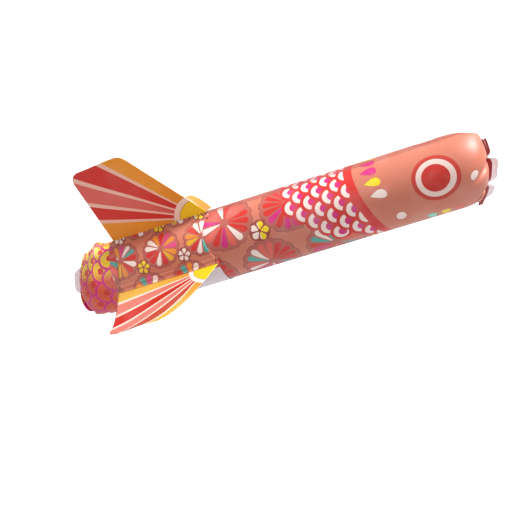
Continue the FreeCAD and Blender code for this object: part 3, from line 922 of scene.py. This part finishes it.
def rear_edge(azimuth):
    """The rear edge is drawn in a little between the upper fins."""
    if not FIN_AZIMUTH["right"] < azimuth < FIN_AZIMUTH["left"]:
        return sleeve_low.x
    half = (FIN_AZIMUTH["top"] - FIN_AZIMUTH["right"]) / 2
    off = (abs(azimuth - FIN_AZIMUTH["top"]) - half) / half
    return sleeve_low.x + REAR_DRAW * (1 - off * off)


def sleeve_piece(name, start, end, material, setback=0.0):
    """Part of the sleeve from one azimuth to another, a column to each degree."""
    columns = round(abs(end - start))
    along = 60
    rows, uvs = [], []
    for r in range(along + 1):
        row, uv = [], []
        for c in range(columns + 1):
            azimuth = start + (end - start) * c / columns
            front = front_edge(azimuth) - setback
            x = front + (rear_edge(azimuth) - front) * r / along
            radius = ridge_radius(azimuth, SLEEVE_RADIUS)
            slack = noise.noise(Vector((x * 30, azimuth * 0.05, 3.0))) * SLEEVE_SLACK
            row.append(about_axis(x, azimuth, radius + SLEEVE_LIFT + slack))
            uv.append((x, math.radians(CREASE_AZIMUTH - azimuth) * TUBE_RADIUS))
        rows.append(row)
        uvs.append(uv)
    piece = grid_piece(name, rows, material, uvs)
    apply_modifier(piece, "SOLIDIFY", thickness=SLEEVE_FILM_THICKNESS, offset=0.0)
    return piece


# --- the fins ---
FIN_ROOT = top_foot_high.x - top_foot_low.x
FIN_SPAN = 95 * MM
FIN_REAR_SPAN = {"right": 90 * MM, "top": 92 * MM, "left": 90 * MM}
FIN_SWEEP = {"right": 57 * MM, "top": 61 * MM, "left": 57 * MM}
FIN_TRAIL = {"right": 0.0, "top": 6 * MM, "left": 0.0}
# How far the rear edge is drawn forward, at the outer corner and at the root.
REAR_SLACK = {"right": (6 * MM, -3.5 * MM), "top": (0.0, 2.5 * MM), "left": (0.0, 0.0)}
# Front tip, front outer corner, rear outer corner and rear root, along the tube and outwards.
FIN_CORNERS = {side: [(0.0, 0.0), (-FIN_SWEEP[side], FIN_SPAN),
                      (-FIN_ROOT - FIN_TRAIL[side] + REAR_SLACK[side][0], FIN_REAR_SPAN[side]),
                      (-FIN_ROOT + REAR_SLACK[side][1], 0.0)] for side in FIN_AZIMUTH}
CORNER_RADII = {1: 13 * MM, 2: 12 * MM}
FIN_FILM_THICKNESS = 0.5 * MM
FIN_RIPPLE = 1.0 * MM
# How a fin's film curves from its root outwards: its slope in degrees away from the flat fin, at the
# root and at the outer edge, and how strongly the change is kept for the outer part.
FIN_CURL = {"right": (-4.0, 28.0, 2.0), "top": (0.0, 0.0, 1.0), "left": (-12.0, 24.0, 1.0)}


def curled(side, reach):
    """Distance out and lift of a point that lies that far along a fin's film from its hinge."""
    first, last, power = FIN_CURL[side]
    steps = 24
    out, lift = 0.0, 0.0
    for k in range(steps):
        part = (k + 0.5) / steps * reach / FIN_SPAN
        slope = math.radians(first + (last - first) * part ** power)
        out += math.cos(slope) * reach / steps
        lift += math.sin(slope) * reach / steps
    return out, lift


def rounded(point, corners, corner):
    """Moves a point that lies outside a fin's rounded corner on to the corner's arc."""
    here = Vector(corners[corner])
    before = (Vector(corners[corner - 1]) - here).normalized()
    after = (Vector(corners[(corner + 1) % 4]) - here).normalized()
    radius = CORNER_RADII[corner]
    half = before.angle(after) / 2
    centre = here + (before + after).normalized() * radius / math.sin(half)
    cut = radius / math.tan(half)
    offset = point - here
    if offset.dot(before) < cut and offset.dot(after) < cut and (point - centre).length > radius:
        return centre + (point - centre).normalized() * radius
    return point


def fin_piece(side, material):
    """Film fin from its ridge outwards, curved as it lies at rest."""
    azimuth, rake, hinge = FIN_AZIMUTH[side], FIN_RAKE[side], FIN_HINGE[side]
    hinge_radius = math.hypot(hinge.y, hinge.z)
    lowest = RIDGE_RADIUS - hinge_radius
    columns, across = 60, 60
    rows, uvs = [], []
    corners = FIN_CORNERS[side]
    tip, front, rear, root = [Vector(corner) for corner in corners]
    turned = math.radians(rake)
    for r in range(across + 1):
        v = r / across
        row, uv = [], []
        for c in range(columns + 1):
            u = c / columns
            flat = tip.lerp(root, u).lerp(front.lerp(rear, u), v)
            flat = rounded(rounded(flat, corners, 1), corners, 2)
            ripple = FIN_RIPPLE * math.sin(2 * math.pi * u) * ease(v)
            out, lift = curled(side, flat.y)
            lift += ripple
            height = out * math.cos(turned) - lift * math.sin(turned) + lowest * (1 - v)
            side_step = out * math.sin(turned) + lift * math.cos(turned)
            row.append(about_axis(top_foot_high.x + flat.x, azimuth, hinge_radius + height, -side_step))
            uv.append((flat.x, flat.y))
        rows.append(row)
        uvs.append(uv)
    fin = grid_piece(side + "_film_fin", rows, material, uvs)
    apply_modifier(fin, "SOLIDIFY", thickness=FIN_FILM_THICKNESS, offset=0.0)
    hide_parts(side + "_fin")
    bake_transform(fin)


FOOT_REACHES = [6.5 * MM, 5.2 * MM, 3.9 * MM, 2.6 * MM, 1.4 * MM]  # down the ridge's slope
FOOT_LEAF = 0.45 * MM  # from the middle of a fin to the middle of a leaf
FOOT_THICKNESS = 0.25 * MM


def foot_piece(side):
    """Printed strip folded over a ridge, with its two leaves standing up against the fin."""
    azimuth, hinge = FIN_AZIMUTH[side], FIN_HINGE[side]
    slope = math.radians(RIDGE_ANGLE)
    top = math.hypot(hinge.y, hinge.z) - 0.4 * MM
    profile = [(RIDGE_RADIUS + 0.45 * MM - reach * math.sin(slope), reach * math.cos(slope))
               for reach in FOOT_REACHES]
    profile += [(RIDGE_RADIUS + 0.7 * MM, FOOT_LEAF * 1.3), (RIDGE_RADIUS + 1.4 * MM, FOOT_LEAF),
                (top, FOOT_LEAF)]
    columns = 78
    xs = [top_foot_low.x + FIN_ROOT * c / columns for c in range(columns + 1)]
    for hand in (1, -1):
        rows, uvs = [], []
        for radius, out in profile:
            place = math.radians(CREASE_AZIMUTH - azimuth) + hand * math.atan2(out, radius)
            rows.append([about_axis(x, azimuth, radius, hand * out) for x in xs])
            uvs.append([(x, place * TUBE_RADIUS) for x in xs])
        foot = grid_piece(side + ("_foot_near" if hand == 1 else "_foot_far"), rows, SLEEVE_FILM, uvs)
        apply_modifier(foot, "SOLIDIFY", thickness=FOOT_THICKNESS, offset=0.0)
        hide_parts(side + "_fin_foot")
        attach(foot, "airframe")


def paint_node(node, material):
    data = frame["nodes"][node].data
    data.materials.clear()
    data.materials.append(material)


# --- put together ---
tube = air_tube()
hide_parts("body_film")
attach(tube, "airframe")

clear_start = FIN_AZIMUTH["left"] + CLEAR_EDGE
clear_end = FIN_AZIMUTH["right"] - CLEAR_EDGE
sleeve = sleeve_piece("tail_sleeve_film", clear_end, clear_start, SLEEVE_FILM)
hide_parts("tail_sleeve")
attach(sleeve, "airframe")

window = sleeve_piece("clear_sleeve_half", clear_start, clear_end + 360, CLEAR_FILM, WINDOW_SETBACK)
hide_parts("sleeve_window")
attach(window, "airframe")

for side in FIN_AZIMUTH:
    fin_piece(side, TOP_FIN_FILM if side == "top" else SIDE_FIN_FILM)
    foot_piece(side)

# Each strip outside an end: where it starts, its breadth, crumple and thickness.
margins = [
    ("nose_weld", NOSE, -WELD_LAP, nose_weld_width, 0.5 * MM, 0.8 * MM, WELD_FILM, "weld"),
    ("nose_flange", NOSE, 1.5 * MM, nose_flange_width, 3 * MM, 0.25 * MM, CLEAR_FILM, "clear_film"),
    ("tail_weld", TAIL, -WELD_LAP, tail_weld_width, 0.5 * MM, 0.8 * MM, WELD_FILM, "weld"),
    ("tail_flange", TAIL, 1.5 * MM, tail_flange_width, 4 * MM, 0.25 * MM, CLEAR_FILM, "clear_film")]
for node, end, inner, width, crumple, thickness, material, slot in margins:
    margin = margin_piece(node + "_strip", end, inner, width, crumple, thickness, material)
    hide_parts(node)
    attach(margin, "airframe")

for node in ("valve_body", "valve_flap", "valve_strap", "valve_plug"):
    paint_node(node, VALVE_PLASTIC)


# --- floor, light and camera ---
FLOOR_SIZE, FLOOR_LEVEL = 6.0, -0.45


def seen_straight(n):
    """1 for what is seen by the camera or through clear film, 0 for light that lands on the toy."""
    path = n.add("ShaderNodeLightPath")
    return n.larger(path.outputs["Is Camera Ray"], path.outputs["Is Transmission Ray"])


def floor():
    """A wide floor that looks white and throws a soft light back up."""
    mesh = bpy.data.meshes.new("floor")
    corners = [(-1, -1), (1, -1), (1, 1), (-1, 1)]
    mesh.from_pydata([(x * FLOOR_SIZE, y * FLOOR_SIZE, FLOOR_LEVEL) for x, y in corners], [], [(0, 1, 2, 3)])
    material, n, surface = new_material("white floor")
    surface["Base Color"].default_value = (0.5, 0.5, 0.5, 1.0)
    surface["Roughness"].default_value = 0.9
    surface["Specular IOR Level"].default_value = 0.1
    surface["Emission Color"].default_value = WHITE
    n.put(n.times(seen_straight(n), 0.9), surface["Emission Strength"])
    mesh.materials.append(material)
    obj = new_object("floor", mesh)


def lights():
    """A white sky, brighter above than at the sides, and a broad sun above the nose's far side."""
    world = bpy.data.worlds.new("studio")
    bpy.context.scene.world = world
    world.use_nodes = True
    n = Nodes(world.node_tree)
    background = world.node_tree.nodes["Background"]
    direction = n.add("ShaderNodeSeparateXYZ")
    n.put(n.add("ShaderNodeTexCoord").outputs["Generated"], direction.inputs[0])
    sky = n.add("ShaderNodeMapRange", interpolation_type="SMOOTHSTEP")
    n.put(direction.outputs[2], sky.inputs["Value"])
    sky.inputs["From Min"].default_value = 0.0
    sky.inputs["From Max"].default_value = 0.85
    sky.inputs["To Min"].default_value = 0.41
    sky.inputs["To Max"].default_value = 0.8
    n.put(n.larger(sky.outputs[0], seen_straight(n)), background.inputs["Strength"])
    background.inputs["Color"].default_value = WHITE
    sun = bpy.data.lights.new("key", "SUN")
    sun.energy = 4.9
    sun.angle = math.radians(25)
    lamp = new_object("key", sun)
    towards = about_axis(0.9, 113.0, 1.0)
    lamp.rotation_mode = "QUATERNION"
    lamp.rotation_quaternion = towards.to_track_quat("Z", "Y")


def camera():
    """Looks down the near side from a little ahead, with the tube rising to the right."""
    side_angle, elevation, roll = math.radians(12.0), math.radians(31.0), math.radians(17.21)
    distance = 1.05
    aim = Vector((9.3 * MM, 0, 0))
    along = Vector((1, 0, 0))
    outward = Vector((0, -math.cos(elevation), math.sin(elevation)))
    back = outward * math.cos(side_angle) + along * math.sin(side_angle)
    right = along * math.cos(side_angle) - outward * math.sin(side_angle)
    up = back.cross(right)
    data = bpy.data.cameras.new("camera")
    data.lens = 67.4
    data.sensor_width = 36.0
    data.shift_x = -0.0557
    data.shift_y = -0.0596
    obj = new_object("camera", data)
    x_axis = right * math.cos(roll) - up * math.sin(roll)
    y_axis = right * math.sin(roll) + up * math.cos(roll)
    turn = Matrix((x_axis, y_axis, back)).transposed().to_4x4()
    obj.matrix_world = Matrix.Translation(aim + back * distance) @ turn
    bpy.context.scene.camera = obj


floor()
lights()
camera()
bpy.context.scene.view_settings.view_transform = "Standard"
